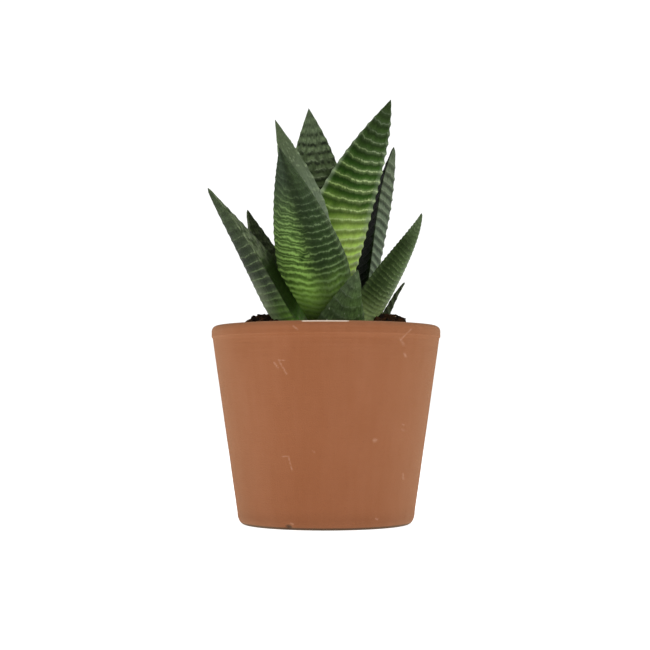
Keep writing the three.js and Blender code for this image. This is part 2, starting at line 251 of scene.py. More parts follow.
# %% Leaf sizes, in millimetres and degrees
LEAF_SIZES = {
    # spine: foot, foot handle, tip handle, tip; the way the inner face looks; width;
    # width at the foot; where it is widest; fullness; keel depth; hollow; ridges
    "leaf_heart": (
        (3.5, 0, 64), (6, 0, 73), (6.5, 0.5, 82), (4.5, 0.5, 91),
        190, 190, 8, 0.7, 0.35, 1.3, 2.5, 0.4, 9),
    "leaf_inner_left": (
        (-1, 0, 64), (0.2, -1.5, 90.5), (-6.1, -1.5, 112), (-17.8, 0, 142.6),
        -70, -67, 15.5, 0.5, 0.6, 1.55, 5, 1, 20),
    "leaf_tall_right": (
        (1, 4.5, 64), (-7, 10, 96.3), (15.5, 13, 130.2), (24, 12, 152.29),
        -108, -112, 23.5, 0.4, 0.37, 1.77, 5.5, 1.4, 25),
    "leaf_front_left": (
        (4.8, -4, 64), (-3, -10, 84), (-9.5, -15, 105.7), (-15.7, -16, 129.7),
        90, 94, 24, 0.34, 0.39, 1.62, 6, 1.2, 29),
    "leaf_tall_back": (
        (-1, 8.5, 64), (-2.5, 19, 92), (-2.7, 26, 122), (-6.1, 26, 152),
        -87, -93, 26.5, 0.5, 0.44, 1.82, 5, 0.8, 28),
    "leaf_left": (
        (-2, -6.5, 63), (-11.2, -12, 79.2), (-20.7, -18, 93.9), (-39.9, -20, 115.1),
        -8, -5, 23, 0.6, 0.33, 1.36, 9.5, 0.6, 23),
    "leaf_right": (
        (8.9, -4, 63), (14.6, -11, 78.7), (29.3, -15, 94.9), (33.2, -14, 107.2),
        143, 149, 18.5, 0.55, 0.26, 1.47, 3.8, 0.8, 16),
    "leaf_back_right": (
        (8, 5, 64), (14.6, 14, 86), (13.9, 18, 110.4), (25.2, 16, 135.7),
        211, 181, 18.5, 0.5, 0.62, 2.08, 5.6, 1, 22),
    "leaf_left_small": (
        (-8, 2, 64), (-9.6, 6, 80), (-22.1, 7, 95), (-27.7, 5, 111),
        -25, -25, 18.5, 0.6, 0.51, 1.59, 4, 0.6, 16),
    "leaf_front_small": (
        (4.4, -7, 63), (5, -14, 68.4), (9.4, -17.5, 80.5), (11.2, -19, 87.3),
        99, 95, 20.5, 0.95, 0.14, 1.05, 3.6, 0.5, 9),
    "leaf_right_small": (
        (9, 1, 65), (20.5, 4, 65.5), (21, 6, 77.2), (28.5, 6, 85),
        170, 180, 5, 0.8, 0.3, 1.3, 1.6, 0.2, 10),
    "leaf_rear_left": (
        (-3.5, 9, 64), (-8, 18, 76), (-11, 27, 92), (-11, 32, 109),
        -70, -75, 17, 0.5, 0.35, 1.35, 4.5, 0.8, 15),
    "leaf_rear_right": (
        (5, 8.5, 64), (10, 20, 76), (14, 28, 90), (15.5, 33, 103),
        -115, -115, 15, 0.5, 0.35, 1.35, 4.2, 0.8, 14),
    "leaf_rear_side": (
        (-7.5, 6, 64), (-13, 14, 69), (-17.5, 21, 78), (-20.5, 27, 87.5),
        -50, -50, 13, 0.6, 0.3, 1.3, 3.8, 0.6, 11),
    "leaf_rear_low": (
        (0.5, 9.5, 63.5), (1, 21, 68.5), (3, 30, 77), (4, 36, 86.5),
        -95, -95, 14, 0.55, 0.3, 1.3, 3.8, 0.6, 12),
    "leaf_rear_corner": (
        (8, 5.5, 64), (15, 13, 69), (19, 20, 77), (22, 26, 85.5),
        -130, -130, 12, 0.6, 0.3, 1.3, 3.6, 0.6, 11),
}
SIZE_NAMES = ("Foot", "Foot handle", "Tip handle", "Tip", "Facing at foot", "Facing at tip",
              "Width", "Foot share", "Widest at", "Fullness", "Keel", "Hollow", "Ridges")
OFF_AXIS = 0.35  # the rosette stands this far left of the pot's axis
ROSETTE_SHIFT = Vector((-OFF_AXIS, 0, 0))
print(len(LEAF_SIZES), "leaves")

# %% [markdown]
# A leaf starts as a tall tube, closed at both ends. Its height becomes the way along the
# spine and its turn becomes the way round the leaf, so the mesh stays one closed body with
# even faces. A grid bent into shape would leave a seam to sew up along one margin.

# %% Leaf rule, part one: the plain form
leaf_inputs = {
    "Rows": WHOLE, "Columns": WHOLE, "Seed": NUMBER, "Skin": MATERIAL,
    "Ridge height": 0.32,  # crest above valley
    "Crest width": 0.15,  # as a share of the spacing
    "Sag outside": 1.6,  # how far a ridge sags at the keel
    "Sag inside": 0.5,
    "Slant": 0.0,  # how much higher than its middle it ends on one margin
    "Slant gain": 0.0,  # and how much that grows from foot to tip
    "Waviness": 0.14,  # share of the spacing that a ridge wanders
    "Keel jog": 0.3,  # how far the two halves of a ridge miss each other
    "Breaks": 0.3,  # 0 gives whole ridges, 1 mostly broken ones
    "Beads": 0.15,  # how far the margin swells at each ridge
    "Warts": 0.0,  # height of loose pale warts
}
leaf_inputs |= dict.fromkeys(SIZE_NAMES[:4], VECTOR) | dict.fromkeys(SIZE_NAMES[4:], NUMBER)
leaf_tree, given, leaf_end = new_group(
    "Geometry", "haworthia leaf", leaf_inputs, {"Leaf": GEOMETRY})

tube = result(leaf_tree, "GeometryNodeMeshCylinder",
              {"Vertices": given.columns, "Side Segments": given.rows,
               "Radius": 1.0, "Depth": 1.0}, "Mesh", fill_type="TRIANGLE_FAN")
x, y, z = parts_of(result(leaf_tree, "GeometryNodeInputPosition"))
on_ring = (x * x + y * y) > 0.25  # 0 at the two points that close the ends
turn = worked("ARCTAN2", y, x)
along = (z + 0.5) * (1 - on_ring * 0.015)


def step(geometry, kind, feeds=(), **settings):
    """One step of a geometry tree: a node takes the geometry and hands it on changed."""
    feeds = {0: geometry, **dict(feeds)}
    return result(geometry.tree, "GeometryNode" + kind, feeds, **settings)


def keep(geometry, label, value):
    """Stores a value on every point under a name, for later steps and for the skin."""
    feeds = {"Name": label, "Value": value}
    return step(geometry, "StoreNamedAttribute", feeds, data_type="FLOAT")


def kept(label):
    feeds = {"Name": label}
    return result(leaf_tree, "GeometryNodeInputNamedAttribute", feeds, data_type="FLOAT")


shape = keep(tube, "along", along)
shape = keep(shape, "across", cosine(turn) * on_ring)
shape = keep(shape, "inward", sine(turn) * on_ring)
print("leaf tree inputs:", len(leaf_inputs))

# %% [markdown]
# The cut across a leaf is a flat D: the inner face is a little hollow and the outer face
# bulges to a keel. The width follows a quarter of a sine wave up to the widest place, and a
# power curve from there to the tip, which gives the long spear shape.

# %% Leaf rule, part two: the cut across and the spine
across, inward = cosine(turn), sine(turn)
rising = slide(given.foot_share, 1, sine(along / given.widest_at * (math.pi / 2)))
past = larger((along - given.widest_at) / (1 - given.widest_at), 0)
girth = slide(1 - past ** given.fullness, rising, along < given.widest_at)
edge = slide(0.3, 0.85, girth) * inward
hollow = edge - given.hollow * girth * (1 - across * across)
keeled = edge - given.keel * girth ** 0.8 * (1 - size_of(across) ** 1.7)
is_inner = inward > 0
sideways = given.width / 2 * girth * across * on_ring
outward = slide(keeled, hollow, is_inner) * on_ring

back = 1 - along
spine = (given.foot * (back * back * back)
         + given.foot_handle * (back * back * along * 3)
         + given.tip_handle * (back * along * along * 3)
         + given.tip * (along * along * along))
climb = worked("NORMALIZE",
               (given.foot_handle - given.foot) * (back * back)
               + (given.tip_handle - given.foot_handle) * (back * along * 2)
               + (given.tip - given.tip_handle) * (along * along))
facing = slide(given.facing_at_foot, given.facing_at_tip, along) * (math.pi / 180)
level = vector_of(cosine(facing), sine(facing), 0)
face = worked("NORMALIZE", level - climb * worked("DOT_PRODUCT", climb, level))
side = worked("CROSS_PRODUCT", face, climb)
place = (spine + side * sideways + face * outward) * MM
shape = step(shape, "SetPosition", {"Position": place})
tell(leaf_tree)

# %% [markdown]
# The ridges are what makes this plant: thin raised bars, 3 to 4 mm apart, that sag at the
# keel, wander a little, break up, and miss each other where the two halves meet. They could
# be a bump in the skin, but they show in the leaf's outline, so they are real relief. A
# running count goes up by one from each ridge to the next, and everything else bends it.

# %% Leaf rule, part three: counting the ridges
along, across, inward = kept("along"), kept("across"), kept("inward")
outer_side = larger(inward * -1, 0)
inner_side = larger(inward, 0)
length = worked("DISTANCE", given.foot, given.tip)
unrolled = vector_of(across * given.width * 0.5, inward * given.width * 0.25,
                     along * length) + vector_of(given.seed * 31.7, 0, 0)
fade = smaller(smaller(along * 4.5, (1 - along) * 7), 1)
sag = (given.sag_outside * outer_side * outer_side
       + given.sag_inside * inner_side * inner_side
       - (given.slant + given.slant_gain * along) * across) / length
spaced = ((along + fade * sag) * 0.4 + 0.81) ** 0.5 * 5 - 4.5  # closer near the foot
slow = unrolled * (1, 1, 0.45)
drift = wander(slow, 0.22, 1) * 0.75 + wander(slow + (9, 4, 0), 0.7, 1) * 0.4
halves = worked("SIGN", across) * (1 - size_of(across)) ** 0.6
by_place = vector_of(given.seed, is_inner, along * length)
jog = halves * (1 - is_inner) * wander(by_place, 0.3, 1)
count = given.ridges * spaced + fade * (drift * given.waviness + jog * given.keel_jog * 0.5)
spacing = length * (spaced * 0.2 + 0.9) / given.ridges
within = worked("FRACT", count)
crest_gap = size_of(within - 0.5) * spacing  # mm from the nearest crest
tell(leaf_tree)

# %% [markdown]
# A crest is raised along the face's own normal, by a bell curve of its distance. Its height
# fades at the foot and at the tip, dies away where a ridge is broken, and swells into a
# bead on the margin. Last come the warts, small domes scattered between the ridges.

# %% Leaf rule, part four: raising the crests
stretched = unrolled * (1, 1, 0.8)
whole = wander(stretched, 0.42) * 0.75 + 1 - given.breaks * 1.6
unbroken = ramp(whole, -0.25, 0.45)
at_margin = ramp(size_of(across), 0.8, 0.98)
strength = larger(unbroken, at_margin * 0.8) * fade
bell = worked("EXPONENT", (crest_gap / (given.crest_width * spacing)) ** 2 * -1)
rough = wander(unrolled, 1.3) * 0.15 + 1
lower = slide(0.35, 1, ramp(along, 0.1, 0.42))  # the ridges flatten near the foot
relief = bell * strength * given.ridge_height * rough * lower * (1 - at_margin * 0.6)
beaded = slide(0.4, 1, across < 0)  # one margin is smoother than the other
bead = sine(within * math.pi) ** 2 * at_margin * fade * beaded * given.beads * rough
dots = ramp(cells(stretched, 0.8), 0.42, 0.16)
patches = ramp(wander(unrolled, 0.2, 1), -0.1, 0.4)
wart = dots * patches * fade
relief = relief + bead + wart * given.warts

shape = keep(shape, "crest_gap", crest_gap)
shape = keep(shape, "strength", strength)
shape = keep(shape, "above_crest", sine(within * (-2 * math.pi)))
shape = keep(shape, "wart", wart * smaller(given.warts * 4, 1))
normal = result(leaf_tree, "GeometryNodeInputNormal")
shape = step(shape, "SetPosition", {"Offset": normal * (relief * MM)})
shape = step(shape, "SetShadeSmooth")
shape = step(shape, "RealizeInstances")
shape = step(shape, "SetMaterial", {"Material": given.skin})
hand_out(leaf_end, shape)
tell(leaf_tree)

# %% [markdown]
# A tree is only a recipe. `grow` hands it the sizes, lets Blender work it out once, and
# keeps the result as an ordinary mesh, so that nothing is left live on the piece.

# %% Run a tree and keep its mesh
def add_object(name, data):
    obj = bpy.data.objects.new(name, data)
    scene.collection.objects.link(obj)
    return obj


def grow(name, tree, values):
    obj = add_object(name, bpy.data.meshes.new(name))
    modifier = obj.modifiers.new("rule", "NODES")
    modifier.node_group = tree
    for item in tree.interface.items_tree:
        if item.in_out == "INPUT" and item.name in values:
            modifier[item.identifier] = values[item.name]
    graph = bpy.context.evaluated_depsgraph_get()
    mesh = bpy.data.meshes.new_from_object(
        obj.evaluated_get(graph), preserve_all_data_layers=True, depsgraph=graph)
    obj.modifiers.remove(modifier)
    empty, obj.data = obj.data, mesh
    bpy.data.meshes.remove(empty)
    mesh.name = name
    return obj


def triangles(obj):
    return sum(len(face.vertices) - 2 for face in obj.data.polygons)


print("trees:", [tree.name for tree in bpy.data.node_groups])

# %% [markdown]
# ## Haworthia skin
# The skin is waxy, with a weak gloss, and lets a little light through. It is yellow-green at
# the foot, where the leaf is young, and grey-green at the tip. Pale lime lines run along the
# crests. One node group holds these rules, and each leaf's own material feeds it colours,
# because young and old leaves differ in colour but not in kind.

# %% Skin group: inputs
SKIN_COLOURS = ("Foot", "Middle", "Tip", "Crest", "Crest at tip", "Inner tint", "Left half",
                "Right half")
SKIN_NUMBERS = {
    # how far up the leaf each of these reaches, as a share of its length
    "Pale up to": 0.05, "Green up to": 0.35, "Dark from": 0.55, "Lines up to": 1.2,
    "Shade up to": 0.0, "Halves swap at": 1.5,
    # the lines on the crests: their width in mm, and how strongly all of it is drawn
    "Line width": 0.3, "Line strength": 1.0, "Glow": 0.3, "Slope contrast": 0.22,
    "Between lines": 0.0,
    # the two halves, and the keel between them
    "Half blend": 0.3, "Right greying": 0.0, "Keel glow": 0.1, "Keel reach": 0.6,
    "Keel shade": 0.0,
    # the margins, the inner face, the foot and the blemishes
    "Margin glow": 0.4, "Far margin": 0.2, "Inner glow": 0.0, "Foot shade": 0.0,
    "Mottle": 0.1, "Flecks": 0.0,
}
FINISH = {"Colour": COLOUR, "Roughness": NUMBER, "Height": NUMBER}
skin_group, given, skin_end = new_group(
    "Shader", "haworthia skin", dict.fromkeys(SKIN_COLOURS, COLOUR) | SKIN_NUMBERS,
    FINISH)
print("skin inputs:", len(SKIN_COLOURS) + len(SKIN_NUMBERS))

# %% Skin group: colour along the leaf
def paint(red, green, blue):
    """A colour given as screen values from 0 to 255, in the linear light Blender uses."""
    values = [c / 255 for c in (red, green, blue)]
    return (*[c / 12.92 if c <= 0.04045 else ((c + 0.055) / 1.055) ** 2.4 for c in values], 1)


def mixed(share, first, second):
    feeds = {0: share, 6: first, 7: second}
    return result(tree_of(*feeds.values()), "ShaderNodeMix", feeds, 2, data_type="RGBA")


def attribute(tree, label):
    return result(tree, "ShaderNodeAttribute", output="Fac", attribute_name=label)


def object_place(tree):
    """Where a point is on the object, in millimetres."""
    return result(tree, "ShaderNodeTexCoord", output="Object") * (1 / MM)


place = object_place(skin_group)
along, across, inward, gap, strength, above, wart = [
    attribute(skin_group, label) for label in
    ("along", "across", "inward", "crest_gap", "strength", "above_crest", "wart")]
inner_face = ramp(inward, -0.1, 0.1)

uneven = wander(place * (1, 1, 0.4), 0.12, 3)
reach = along + uneven * 0.05
ground = mixed(ramp(reach, given.pale_up_to, given.green_up_to), given.foot, given.middle)
ground = mixed(ramp(reach, given.dark_from, 0.95), ground, given.tip)
fine = wander(place, 1.1, 4, 0.65)
ground = ground * (fine * given.mottle + 1)
# painted shade where the front leaf's foot sinks among the others
painted_foot_shade = ramp(along, 0.34, 0.15) * given.foot_shade  # where it sinks among the others
tell(skin_group)

# %% [markdown]
# A line is palest on its crest, a little ragged, and wider near the foot. Soft light hardly
# shades so low a relief, so the slope above a crest is also painted lighter and the one
# below it darker. On the front leaf a fainter line runs between two ridges.

# %% Skin group: lines on the crests
streaks = wander(vector_of(across * 7, along * 5, inner_face * 3), 2.2, 4, 0.6)
ground = ground * (streaks * (given.mottle + 0.05) + 1)
gap = gap + wander(place * (1, 1, 0.4), 1.6, 3) * 0.22  # a ragged edge to every line
right = ramp(across, given.half_blend * -1, given.half_blend)
# painted shade: on the front leaf the right half's lines turn grey and thin, as the side away
# from the lamps
greying = right * ramp(along, 0.15, 0.42) * given.right_greying
soft_line = wander(place, 0.9, 3, 0.6) * 0.3 + 1
width = given.line_width * slide(1.9, 0.8, ramp(along, 0.1, 0.6)) * soft_line
width = width * (1 - greying * 0.55)
reaching = ramp(along, given.lines_up_to + 0.12, given.lines_up_to - 0.12)
drawn = smaller(strength * 1.25, 1) * slide(0.2, 1, reaching) * given.line_strength
line = ramp(gap, width, width * 0.2) * drawn
glow = ramp(gap, 1.5, 0.1) * drawn * given.glow
crest = mixed(ramp(along, 0.3, 0.9), given.crest, given.crest_at_tip)
crest = mixed(greying, crest, given.crest_at_tip)
between = (ramp(size_of(above), 0.7, 0.1) * ramp(gap, 0.6, 1.1) * (1 - right)
           * ramp(wander(place * (0.5, 0.5, 1), 0.5), -0.9, 0.3) * reaching
           * ramp(along, 0.36, 0.5))
slopes = ground * (above * strength * given.slope_contrast + 1)
colour = mixed(glow * (1 - greying), slopes, crest)
colour = mixed(between * given.between_lines, colour, crest)
colour = mixed(line * (1 - greying * 0.3), colour, crest)
tell(skin_group)

# %% [markdown]
# Across the leaf the skin changes too. The keel is paler than the flanks, partly its own
# skin and partly painted light on an edge that faces a lamp, and on the front leaf it has a
# line of painted shade. One half is painted darker and greyer than the other, as the side in
# shade. The inner face is tinted, partly its own colour and partly painted shade; it is
# painted dark where younger leaves shade it, and on the side leaf painted light where the
# top lamp catches it at a slant. Each is a soft mask, and its number says how strong it is
# on a leaf: 0 leaves it out.

# %% Skin group: keel, halves and inner face
# the keel painted paler: partly its own paler skin, and on the side leaf painted light where its
# edge faces a lamp
keel = ramp(size_of(across), given.keel_reach, given.keel_reach - 0.6)
patchy = wander(place * (1, 1, 0.5), 0.55, 4, 0.7)
keel = keel * (1 - inner_face) * ramp(along, 0.62, 0.36) * given.keel_glow
keel = keel * (patchy * 0.45 + 0.9)
colour = mixed(smaller(keel, 1), colour, given.crest_at_tip)
# painted shade along the keel line of the front leaf
ridge_line = ramp(size_of(across - 0.05), 0.5, 0.05) * (1 - inner_face)
colour = colour * (1 - ridge_line * given.keel_shade)
colour = mixed(wart * 0.7, colour, given.crest_at_tip)
# painted shade: one half of a leaf is tinted darker, as the side away from the lamps; on the
# front leaf the halves change over near the tip
swap = ramp(along, given.halves_swap_at, given.halves_swap_at + 0.15)
halves = mixed(slide(right, 1 - right, swap), given.left_half, given.right_half)
tinted = larger(ramp(along, 0.95, 0.7), swap) * ramp(along, 0.13, 0.34)
colour = mixed(tinted, colour, colour * halves)
# the inner face's tint: partly its own colour, and on the side and dark skins painted shade
colour = mixed(inner_face, colour, colour * given.inner_tint)
# painted shade where younger leaves cover the inner face, except near the foot
painted_cover_shade = ramp(reach, given.shade_up_to, given.shade_up_to - 0.16) * ramp(reach, 0.15, 0.36)
# painted light where the top lamp catches the inner face at a slant, kept off the painted shade
painted_inner_light = larger((patchy * 1.6 + 0.8) * given.inner_glow, 0) * (1 - painted_cover_shade)
tell(skin_group)

# %% [markdown]
# The margins are pale, most of all where a ridge ends on them, and fainter near the tip. A
# few leaves have dry flecks. The grain is too fine for the mesh, so it goes out as a height.

# %% Skin group: margins, flecks and grain
teeth = slide(0.45, 1, ramp(gap, 1.3, 0.3))  # palest where a ridge ends on it
margin = (ramp(size_of(across), 0.8, 0.97) * given.margin_glow * teeth
          * slide(given.far_margin, 1, right) * slide(0.3, 1, ramp(along, 0.85, 0.5)))
colour = mixed(margin, colour, given.crest_at_tip)
colour = mixed(inner_face * painted_inner_light, colour, given.crest_at_tip)
# the dark colour of that painted shade
colour = mixed(painted_cover_shade * inner_face * 0.9, colour, paint(16, 30, 4))
fleck = (ramp(cells(place * (1, 1, 0.5) + uneven * 0.3, 0.42), 0.15, 0.08)
         * ramp(wander(place, 0.16, 1), 0, 0.5))  # a few dry pale flecks
colour = mixed(fleck * given.flecks, colour, paint(214, 222, 196))
# painted shade on the front leaf's foot
colour = colour * (1 - painted_foot_shade)
grain = wander(place, 3.5, 3, 0.6)
hand_out(skin_end, colour, grain * 0.05 + line * 0.06 + 0.47,
         grain * 0.3 + fine * 0.5 + streaks * 0.35)
tell(skin_group)

# %% [markdown]
# A material is a shader fed by the group. The shine comes from the shader itself: a weak,
# slightly green gloss over a body that lets a little light through. What is the same all
# over the leaf is set on the shader's own sockets.

# %% Materials from a group
def with_spaces(values):
    return {key.replace("_", " "): value for key, value in values.items()}


def finish_with(name, group, bump, feeds=(), **shader_values):
    """A material whose colour, roughness and relief come from one node group."""
    material = bpy.data.materials.new(name)
    material.use_nodes = True
    tree = material.node_tree
    shader = tree.nodes["Principled BSDF"]
    detail = node(tree, "ShaderNodeGroup", feeds, node_tree=group)
    colour, roughness, height = [Term(detail.outputs[label]) for label in FINISH]
    relief = result(tree, "ShaderNodeBump", {"Height": height, "Distance": bump * MM})
    into = {"Base Color": colour, "Roughness": roughness, "Normal": relief}
    for label, value in (into | with_spaces(shader_values)).items():
        feed(shader.inputs[label], value)
    material.diffuse_color = dict(feeds).get("Middle", (0.5, 0.5, 0.5, 1))
    return material


WHITE = (255, 255, 255)
SKINS = {}


def leaf_skin(name, foot, middle, tip, crest, crest_at_tip, inner=WHITE, left=WHITE,
              right=WHITE, shine=0.08, **more):
    colours = (foot, middle, tip, crest, crest_at_tip, inner, left, right)
    feeds = {label: paint(*colour) for label, colour in zip(SKIN_COLOURS, colours)}
    SKINS[name] = finish_with(
        name, skin_group, 0.12, feeds | with_spaces(more), Specular_IOR_Level=shine,
        Specular_Tint=paint(206, 232, 180), Subsurface_Weight=0.06,
        Subsurface_Radius=(0.6, 1, 0.3), Subsurface_Scale=1.2 * MM)


print("shader of a leaf ready")

# %% [markdown]
# These are the skins. Leaves in full light are fresh green with bright lines, and those
# behind or below are dull and dark, partly as older skin and partly as painted shade. The
# colours stand for the foot, the middle, the tip, the crests and the crests at the tip, and
# then come tints for the inner face and each half.

# %% Skins
leaf_skin(
    "young skin", (192, 226, 108), (48, 78, 26), (42, 56, 28), (212, 236, 150),
    (144, 158, 130), right=(186, 198, 168), Half_blend=0.6, Far_margin=0.75,
    Pale_up_to=0.32, Green_up_to=0.57, Dark_from=0.6, Line_width=0.4,
    Lines_up_to=0.74, Slope_contrast=0.4, Margin_glow=0.8)
leaf_skin(
    "front leaf skin", (158, 202, 84), (39, 60, 23), (60, 72, 50), (158, 196, 100),
    (114, 130, 96), left=(236, 242, 232), right=(212, 214, 228), Mottle=0.3,
    Foot_shade=0.85, Halves_swap_at=0.7, Pale_up_to=0.12, Green_up_to=0.44,
    Glow=0.42, Line_width=0.55, Right_greying=0.6, Lines_up_to=0.72,
    Slope_contrast=0.2, Keel_glow=0, Keel_shade=0.44, Between_lines=0.75)
leaf_skin(
    "inner leaf skin", (98, 114, 76), (113, 127, 104), (78, 90, 64), (136, 152, 114),
    (134, 150, 116), Line_width=0.42, Mottle=0.2, Margin_glow=0.25, Flecks=0.7)
leaf_skin(
    "back leaf skin", (30, 38, 22), (58, 70, 44), (76, 88, 64), (140, 156, 112),
    (116, 130, 100), Line_width=0.46, Dark_from=0.7, Shade_up_to=0.78,
    Slope_contrast=0.95, Lines_up_to=0.78, Mottle=0.25, Margin_glow=0.6)
leaf_skin(
    "side leaf skin", (132, 182, 74), (25, 34, 20), (52, 62, 42), (98, 122, 72),
    (128, 140, 108), (190, 222, 150), Glow=0.15, Pale_up_to=0.06, Green_up_to=0.45,
    Lines_up_to=0.7, Line_strength=0.5, Keel_glow=0.75, Keel_reach=0.9, Inner_glow=0.55,
    Shade_up_to=0.64, Mottle=0.35, Margin_glow=0.1)
leaf_skin(
    "right leaf skin", (214, 240, 156), (84, 106, 60), (74, 88, 60), (176, 200, 140),
    (110, 128, 90), left=(97, 105, 85), Half_blend=0.9, Glow=0.1, Line_width=0.24,
    Line_strength=0.6, Green_up_to=0.42, Slope_contrast=0.28, Mottle=0.2, Flecks=0.8)
leaf_skin(
    "small leaf skin", (78, 108, 52), (70, 92, 48), (74, 90, 60), (100, 122, 78),
    (112, 126, 98), left=(222, 214, 238), Glow=0.15, Line_strength=0.5, Half_blend=0.4,
    Mottle=0.4, Slope_contrast=0.25, Flecks=0.8)
leaf_skin(
    "dark skin", (156, 170, 146), (76, 88, 70), (80, 90, 70), (122, 136, 112),
    (112, 122, 100), (96, 108, 90), Line_width=0.42, Shade_up_to=0.62,
    Slope_contrast=0.6, Mottle=0.25, Margin_glow=0.3, shine=0.02)
leaf_skin(
    "shaded skin", (34, 39, 20), (46, 54, 32), (52, 60, 38), (70, 78, 54),
    (96, 104, 84), Glow=0.2, Line_strength=0.5, Mottle=0.8, Slope_contrast=0.6)
print("skins:", ", ".join(SKINS))

# %% [markdown]
# Each leaf now gets its fineness, its ridge habits and its skin. Rows lie about a quarter of
# a millimetre apart on the leaves that face the front, and wider on those behind. Seeds are
# fixed, so the plant grows the same each time.

# %% Grow the leaves
HABITS = {
    # rows, columns, skin, and what differs from the rule's own settings
    "leaf_front_left": (380, 140, "front leaf skin", {
        "Keel jog": 0.6, "Sag outside": 2.8, "Slant": -2.8, "Ridge height": 0.26,
        "Waviness": 0.3, "Beads": 0.1}),
    "leaf_tall_right": (380, 150, "young skin", {
        "Breaks": 0.2, "Ridge height": 0.3, "Beads": 0.35, "Sag inside": 1.5,
        "Slant": -3.6, "Slant gain": 4.6}),
    "leaf_inner_left": (280, 96, "inner leaf skin", {
        "Breaks": 0.8, "Slant": 1.2, "Ridge height": 0.2, "Warts": 0.2}),
    "leaf_tall_back": (320, 120, "back leaf skin", {
        "Breaks": 0.5, "Warts": 0.12, "Sag inside": 1.0, "Ridge height": 0.3,
        "Waviness": 0.24}),
    "leaf_left": (280, 130, "side leaf skin", {
        "Breaks": 0.25, "Sag outside": -0.8, "Ridge height": 0.15}),
    "leaf_right": (300, 110, "right leaf skin", {
        "Breaks": 0.45, "Sag outside": 1.2, "Ridges": 34.0, "Ridge height": 0.12,
        "Waviness": 0.25}),
    "leaf_back_right": (300, 100, "dark skin", {"Breaks": 0.15, "Sag outside": 1.4}),
    "leaf_left_small": (180, 80, "shaded skin", {
        "Breaks": 0.6, "Ridge height": 0.2, "Beads": 0.16, "Warts": 0.24}),
    "leaf_front_small": (160, 110, "small leaf skin", {"Breaks": 0.5, "Ridge height": 0.14}),
    "leaf_heart": (90, 48, "young skin", {}),
    "leaf_right_small": (110, 48, "shaded skin", {"Ridge height": 0.15}),
}
OTHER_LEAVES = (130, 72, "side leaf skin", {"Breaks": 0.4})
for number, (leaf, sizes) in enumerate(LEAF_SIZES.items()):
    rows, columns, skin, habit = HABITS.get(leaf, OTHER_LEAVES)
    values = dict(zip(SIZE_NAMES, [tuple(Vector(s) + ROSETTE_SHIFT) if isinstance(s, tuple)
                                   else float(s) for s in sizes]))
    values |= {"Rows": rows, "Columns": columns, "Seed": float(number), "Skin": SKINS[skin]}
    grown = grow(leaf.replace("leaf_", "ridged_leaf_"), leaf_tree, values | habit)
    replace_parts(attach(grown, "root"), leaf)
    corners = np.array([v.co for v in grown.data.vertices])
    low, high = map(np.array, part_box(leaf))
    off = max(*(corners.max(0) - high), *(low - corners.min(0))) / MM
    print(f"{leaf}: {triangles(grown)} triangles, outside its plain box by {off:.2f} mm")

# %% [markdown]
# ## The clay pot
# The pot was thrown or pressed round an axis: a tapered wall, a low thick lip that stands a
# hair out of the wall, a softly rounded foot and a drain hole. Turning a profile round the
# axis makes just that. The wall gets many rings, so that it can be a little out of true.

# %% Pot profile
pot_low, pot_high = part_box("terracotta_pot")
RIM_RADIUS, POT_HEIGHT = pot_high.x / MM, pot_high.z / MM
LIP_HEIGHT, LIP_STEP, LIP_ROUND, WALL = 4.3, 0.35, 1.9, 4.2
FOOT_RADIUS, BEVEL_HEIGHT, BEVEL_WIDTH = 28.5, 4.1, 2.5
FLOOR, COVE, DRAIN_RADIUS, MOUTH_BEVEL = 5, 3, 5, 1


def wall_radius(z):
    bottom, top = FOOT_RADIUS + BEVEL_WIDTH, RIM_RADIUS - LIP_STEP
    return bottom + (top - bottom) * (z - BEVEL_HEIGHT) / (POT_HEIGHT - LIP_HEIGHT - BEVEL_HEIGHT)


def arc(centre, radii, start, end, steps):
    angles = np.radians(np.linspace(start, end, steps))
    return [(centre[0] + radii[0] * math.cos(a), centre[1] + radii[1] * math.sin(a))
            for a in angles]


def pot_profile():
    lip_base = POT_HEIGHT - LIP_HEIGHT
    points = [(r, 0) for r in np.linspace(DRAIN_RADIUS + 0.5, FOOT_RADIUS, 14)]
    points += arc((FOOT_RADIUS, BEVEL_HEIGHT), (BEVEL_WIDTH, BEVEL_HEIGHT), -82, 0, 9)
    points += [(wall_radius(z), z) for z in np.linspace(BEVEL_HEIGHT, lip_base, 36)[1:]]
    points += arc((RIM_RADIUS - 0.3, lip_base + 0.45), (0.3, 0.3), -60, 0, 4)
    points += arc((RIM_RADIUS - LIP_ROUND, POT_HEIGHT - LIP_ROUND), (LIP_ROUND, LIP_ROUND),
                  0, 90, 9)
    mouth = wall_radius(lip_base) - WALL
    points += arc((mouth + MOUTH_BEVEL, POT_HEIGHT - MOUTH_BEVEL), (MOUTH_BEVEL, MOUTH_BEVEL),
                  90, 180, 6)
    points += [(wall_radius(min(z, lip_base)) - WALL, z)
               for z in np.linspace(POT_HEIGHT - 2, FLOOR + COVE, 24)]
    inner = wall_radius(FLOOR) - WALL
    points += [(inner - COVE * 0.3, FLOOR + COVE * 0.3), (inner - COVE, FLOOR)]
    points += [(DRAIN_RADIUS + 0.5, FLOOR), (DRAIN_RADIUS, FLOOR - 0.5), (DRAIN_RADIUS, 0.5)]
    return points


print("profile points:", len(pot_profile()))

